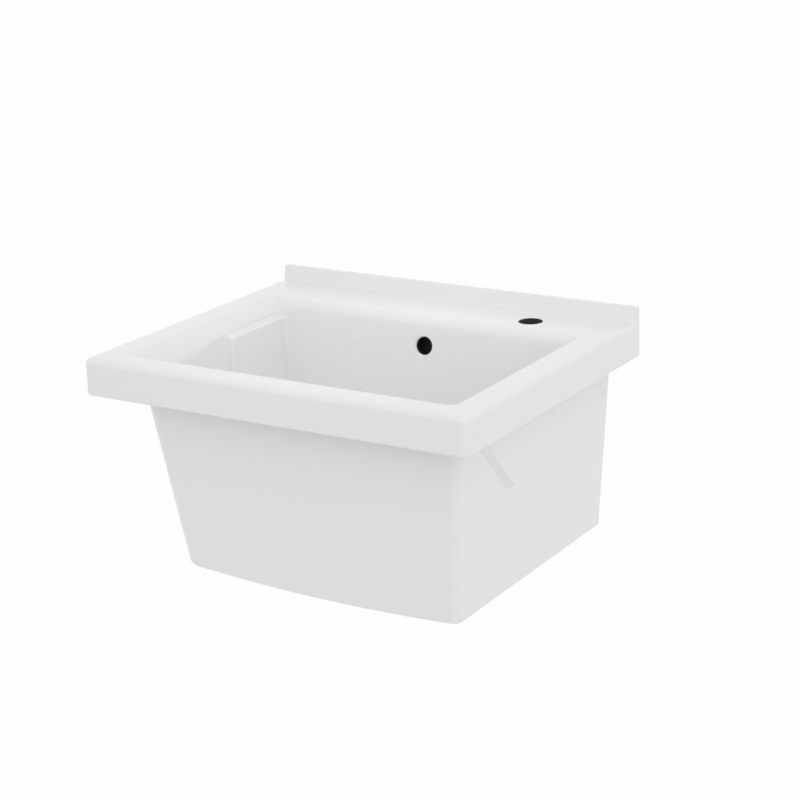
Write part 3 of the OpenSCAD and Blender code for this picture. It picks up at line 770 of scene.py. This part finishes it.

# Painted shade: the insides of the tap hole and of the overflow channel are coloured near black,
# matt and without coat, for the shade that no light reaches there
from_tap = ((across - TAP[0] * MM) ** 2.0 + (depth - TAP[1] * MM) ** 2.0) ** 0.5
tap_bore_shade = (1 - from_tap.over((TAP_R + 0.7) * MM)) * height.over(-0.015)
behind = (depth - (bowl_at(0.0)[3] * MM + height * slope(BACK_SLOPE))) * 1000.0
channel_shade = (behind.rise(2.6, 3.4) * (1 - behind.over(27.0))
          * (1 - abs(across - WASTE[0] * MM).over((WAY_HALF + 0.2) * MM))
          * (1 - height.over(-0.0215)) * height.over((UNDER - 17.0) * MM))
painted_bore_shade = tap_bore_shade.most(channel_shade)

# The glaze itself: faint clouds, a few pinholes and a soft wave
tone = glaze.noise(7.0, 3.0, 0.55)
cloud = glaze.noise(38.0, 2.0)
white_tone = glaze.mix(tone, (0.942, 0.942, 0.939), (0.952, 0.952, 0.950))
speck = glaze.node("ShaderNodeTexVoronoi", {"feature": "F1"},
                   {"Vector": point, "Scale": 55.0, "Randomness": 1.0})
pinhole = (1 - speck.rise(0.015, 0.035)) * cloud.rise(0.52, 0.60)
body_tone = glaze.mix(pinhole * 0.35, white_tone, (0.60, 0.55, 0.48))
clay_tone = glaze.mix(glaze.noise(420.0, 4.0, 0.7), (0.66, 0.61, 0.53), (0.78, 0.74, 0.67))
glaze_wave = glaze.noise(14.0, 2.0, 0.4)
glaze_peel = glaze.noise(170.0, 2.0, 0.5)
clay_grain = glaze.noise(900.0, 3.0, 0.6)
relief = (glaze_wave * 0.00050 + glaze_peel * 0.000022) * (1 - bare) + clay_grain * bare * 0.00012
finished(glaze, {
    # Base colour, with the painted near-black shade inside the tap hole and the overflow channel
    "Base Color": glaze.mix(painted_bore_shade, glaze.mix(bare, body_tone, clay_tone), (0.030, 0.029, 0.028)),
    "Roughness": (0.22 + 0.07 * cloud + 0.5 * bare).most(painted_bore_shade * 0.8),
    "Coat Weight": 0.45 * (1 - bare) * (1 - painted_bore_shade),
    "Coat Roughness": 0.06,
    "Normal": glaze.bump(0.55, relief)})
dressed(casting, glaze_material, "sink")
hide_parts("sink_body")

# Seals: two flat rings cut from black rubber sheet, one under the strainer
# dish's flange and one between the casting's boss and the cup.
rubber_material, rubber = surface("black_rubber")
bloom = rubber.noise(160.0, 4.0, 0.6)
fine = rubber.noise(1400.0, 2.0, 0.5)
finished(rubber, {
    "Base Color": rubber.mix(bloom, (0.018, 0.018, 0.019), (0.040, 0.040, 0.041)),
    "Roughness": 0.55 + 0.18 * bloom,
    "Normal": rubber.bump(0.5, fine * 0.00006 + bloom * 0.00003)})


def gasket(name, inner, outer, low):
    """A flat ring cut from rubber sheet, with its underside at the height low."""
    high = low + 2.5
    ring = turned_solid(name, rounded_loop(
        [(inner, low), (outer, low), (outer, high), (inner, high)], 0.5), 96, closed=True)
    smooth_shaded(ring)
    dressed(ring, rubber_material, "sink")
    return ring


top_seal = gasket("dish_gasket", 45.3, 57.0, -299.0)
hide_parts("dish_seal")

low_seal = gasket("cup_gasket", 46.5, 56.0, -331.5)
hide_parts("cup_seal")

# Strainer dish: pressed from stainless sheet, with a rolled flange that sits in
# the recess and eight drain holes punched through its floor.
steel_material, steel = surface("spun_steel")
steel_point = steel.node("ShaderNodeVectorMath", {"operation": "SUBTRACT"},
                         {0: steel.place(), 1: (WASTE[0] * MM, WASTE[1] * MM, 0.0)})
steel_x, steel_y, steel_z = (steel.part(steel_point, axis) for axis in range(3))
from_axis = (steel_x * steel_x + steel_y * steel_y) ** 0.5
turn_line = steel.node("ShaderNodeCombineXYZ", {}, {0: from_axis, 1: steel_z, 2: steel_x * 0.02})
turning = steel.noise(2600.0, 3.0, 0.6, at=turn_line)
handling = steel.noise(45.0, 4.0, 0.6)
finished(steel, {
    "Base Color": steel.mix(handling, (0.56, 0.56, 0.555), (0.64, 0.64, 0.63)),
    "Metallic": 1.0,
    "Roughness": 0.20 + 0.12 * turning + 0.08 * handling,
    "Normal": steel.bump(0.35, turning * 0.000012 + handling * 0.00004)})


def beside_waste(radius, degrees):
    """A place at this radius from the waste's axis."""
    turn = math.radians(degrees)
    return WASTE[0] + radius * math.cos(turn), WASTE[1] + radius * math.sin(turn)


dish = turned_solid("strainer_pan", rounded_loop(
    [(3.3, -330.5), (41.0, -330.5), (43.0, -296.5), (56.4, -296.5), (57.0, -295.7), (56.2, -295.0),
     (42.25, -295.0), (39.5, -329.0), (3.3, -329.0)],
    [0.2, 3.4, 1.2, 0.5, 0.5, 0.8, 2.7, 2.2, 0.2]), 96, closed=True)
for k in range(8):
    joined(dish, turned_solid("punch", [(0, -333), (5, -333), (5, -327), (0, -327)], 32,
                              beside_waste(20, 45 * k)), "DIFFERENCE")
smooth_shaded(dish)
dressed(dish, steel_material, "sink")
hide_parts("strainer_dish")

# Cup: moulded in white polypropylene. Its flange is drawn up against the boss,
# and its outlet carries a rolled thread for the trap's nut.
plastic_material, plastic = surface("white_polypropylene")
flow = plastic.noise(26.0, 3.0, 0.5, distortion=0.6)
spark = plastic.noise(1100.0, 2.0, 0.5)
finished(plastic, {
    "Base Color": plastic.mix(flow, (0.78, 0.78, 0.76), (0.83, 0.83, 0.815)),
    "Roughness": 0.40 + 0.12 * spark,
    "Normal": plastic.bump(0.4, spark * 0.00004 + flow * 0.00010)})

cup_loop = rounded_loop(
    [(46.5, -331.5), (58.0, -331.5), (58.0, -335.5), (50.0, -335.5), (50.0, -339.5), (23.9, -346.5),
     (22.9, -347.6), (22.9, -363.5), (20.4, -363.5), (20.4, -344.0), (46.5, -337.0)],
    [0.3, 0.8, 0.8, 0.8, 2.0, 0.6, 0.5, 0.5, 0.4, 1.5, 2.0])
cup = turned_solid("outlet_cup", cup_loop, 96, closed=True)
smooth_shaded(cup)


def thread(name, crest, root, pitch, z0, z1, inner, around=96, rows=6):
    """A threaded sleeve: the ridge climbs one pitch in each turn, and fades at both ends."""
    levels = int((z1 - z0) / pitch * rows)
    rings = []
    for j in range(levels + 1):
        z = z0 + (z1 - z0) * j / levels
        fade = min(1.0, (z - z0) / 1.2, (z1 - z) / 1.6)
        ring = []
        for i in range(around):
            turn = i / around
            phase = ((z / pitch) - turn) % 1.0
            ridge = np.clip(1.5 - 4.2 * abs(phase - 0.5) + 0.25, 0, 1)
            r = root + (crest - root) * ridge * max(fade, 0.0)
            angle = 2 * math.pi * turn
            ring.append((WASTE[0] + r * math.cos(angle), WASTE[1] + r * math.sin(angle), z))
        rings.append(np.array(ring))
    angles = np.linspace(0, 2 * math.pi, around, endpoint=False)
    for z in (z1, z0):
        rings.append(np.column_stack([WASTE[0] + inner * np.cos(angles),
                                      WASTE[1] + inner * np.sin(angles), np.full(around, z)]))
    return solid_from_rings(name, rings, tube=True)


def merged(piece, others):
    """Adds the meshes of other pieces to one piece as they are, and removes the others."""
    shape = bmesh.new()
    for each in (piece, *others):
        shape.from_mesh(each.data)
    mesh = bpy.data.meshes.new(piece.data.name)
    shape.to_mesh(mesh)
    shape.free()
    piece.data = mesh
    for each in others:
        bpy.data.objects.remove(each)


outlet_thread = thread("outlet_thread", 23.9, 22.7, 2.31, -362.9, -348.2, 21.6)
smooth_shaded(outlet_thread, 50, weighted=False)
hub = turned_solid("hub", rounded_loop([(5.0, -343.5), (8.0, -343.5), (8.0, -331.5), (5.0, -331.5)],
                                       [0.2, 0.8, 0.3, 0.2]), 48, closed=True)
hub_floor = turned_solid("hub_floor", rounded_loop(
    [(3.3, -343.5), (5.4, -343.5), (5.4, -341.5), (3.3, -341.5)], 0.1), 48, closed=True)


def turned_about_waste(degrees, z=0.0):
    """Moves what lies round the origin to the waste, at a height and turned."""
    return (Matrix.Translation((WASTE[0] * MM, WASTE[1] * MM, z * MM))
            @ Matrix.Rotation(math.radians(degrees), 4, "Z"))


arms = []
for k in range(3):
    arm = run_along_x("arm", [(-2, -341.5), (2, -341.5), (2, -333.5), (-2, -333.5)], 6.5, 47.5)
    arm.data.transform(turned_about_waste(120 * k))
    arms.append(arm)
merged(cup, [outlet_thread, hub, hub_floor] + arms)
dressed(cup, plastic_material, "sink")
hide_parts("waste_cup")

# Clamp: a stainless screw through the dish, a nylon washer under it and a
# knurled brass bush in the cup's hub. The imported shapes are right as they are.
brass_material, brass = surface("turned_brass")
brass_tone = brass.noise(300.0, 3.0, 0.6)
knurl = brass.node("ShaderNodeTexWave", {"wave_type": "BANDS", "bands_direction": "DIAGONAL"},
                   {"Vector": brass.place(), "Scale": 420.0}, 1)
finished(brass, {
    "Base Color": brass.mix(brass_tone, (0.62, 0.43, 0.17), (0.72, 0.53, 0.24)),
    "Metallic": 1.0,
    "Roughness": 0.28 + 0.15 * brass_tone,
    "Normal": brass.bump(0.4, knurl * 0.00012)})

nylon_material, nylon = surface("natural_nylon")
nylon_tone = nylon.noise(240.0, 3.0, 0.6)
finished(nylon, {
    "Base Color": nylon.mix(nylon_tone, (0.72, 0.70, 0.63), (0.79, 0.77, 0.71)),
    "Roughness": 0.38 + 0.15 * nylon_tone,
    "Normal": nylon.bump(0.3, nylon_tone * 0.00005)})


def refinished(node, material):
    """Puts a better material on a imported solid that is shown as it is."""
    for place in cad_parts[node].material_slots:
        place.material = material


refinished("clamp_screw", steel_material)
refinished("clamp_washer", nylon_material)
refinished("clamp_insert", brass_material)

# Basket: drawn from thin stainless sheet, with a turned-out edge, a ring of
# holes in its floor and two rings of holes round its wall.
basket = turned_solid("lift_out_basket", rounded_loop(
    [(8.1, -324.0), (36.0, -324.0), (36.0, -300.0), (40.5, -300.0), (40.5, -299.0),
     (35.0, -299.0), (35.0, -323.0), (8.1, -323.0)],
    [0.1, 3.0, 0.6, 0.45, 0.45, 1.6, 2.0, 0.1]), 96, closed=True)
HOLE_R = 2.25
punches = [turned_solid("punch", [(0, -326), (HOLE_R, -326), (HOLE_R, -321), (0, -321)], 20,
                        beside_waste(31.75, 20 * k)) for k in range(18)]
for row in (1, 2):
    for k in range(12):
        punch = turned_solid("punch", [(0, -4), (HOLE_R, -4), (HOLE_R, 4), (0, 4)], 20, (0.0, 0.0))
        punch.data.transform(
            turned_about_waste(30 * k + 15 * row, -324 + 8.1 * row)
            @ Matrix.Translation((0.0355, 0, 0)) @ Matrix.Rotation(math.radians(90), 4, "Y"))
        punches.append(punch)
merged(punches[0], punches[1:])
joined(basket, punches[0], "DIFFERENCE")
smooth_shaded(basket)
dressed(basket, steel_material, "strainer")
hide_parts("basket")

# Stem: a stainless post over a pressed dome that stands on the basket's floor.
# Its pin drops into the clamp screw's sleeve and carries a nylon catch ring.
stem = turned_solid("basket_post", [
    (0, -327.0), (3.4, -327.0), (3.85, -326.75), (4.0, -326.4), (4.0, -325.05), (3.05, -325.0),
    (3.05, -323.0), (4.0, -322.95), (4.0, -310.0), (7.6, -310.0), (8.1, -310.5), (8.1, -323.0),
    (12.0, -323.0), (12.1, -322.6), (12.0, -322.1), (11.0, -322.0), (10.5, -321.6), (10.2, -320.8),
    (10.1, -319.6), (10.1, -311.4), (9.7, -310.2), (8.8, -309.0), (7.4, -308.2), (5.6, -308.0),
    (4.6, -307.7), (4.1, -306.9), (4.0, -306.0), (4.0, -299.0), (3.0, -299.0), (3.0, -291.0),
    (0, -291.0)], 64)
smooth_shaded(stem)
dressed(stem, steel_material, "strainer")
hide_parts("basket_stem")

refinished("stem_catch", nylon_material)

# Stopper: a rubber ring under a steel plate, riveted beneath the basket. Pushed
# down, it covers the dish's eight holes.
refinished("seal_plate", steel_material)
refinished("stopper_seal", rubber_material)

# Knob: moulded in black plastic and pressed on the post. The basket is pushed
# down and lifted by it.
knob_material, knob_finish = surface("black_knob_plastic")
knob_tone = knob_finish.noise(200.0, 3.0, 0.5)
finished(knob_finish, {
    "Base Color": knob_finish.mix(knob_tone, (0.020, 0.020, 0.022), (0.034, 0.034, 0.036)),
    "Roughness": 0.22 + 0.12 * knob_tone,
    "Normal": knob_finish.bump(0.3, knob_tone * 0.00006)})
knob = turned_solid("lift_knob", [
    (0, -291.0), (3.08, -291.0), (3.08, -299.0), (6.6, -299.0), (7.0, -298.7), (6.9, -298.2),
    (6.3, -297.0), (6.15, -295.9), (6.5, -294.8), (7.8, -293.7), (9.1, -292.9), (9.8, -292.1),
    (10.0, -291.2), (10.0, -290.2), (9.7, -289.2), (8.9, -288.5), (7.7, -288.1), (5.6, -288.05),
    (5.0, -288.25), (3.0, -288.45), (0, -288.5)], 64)
smooth_shaded(knob)
dressed(knob, knob_material, "strainer")
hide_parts("basket_knob")
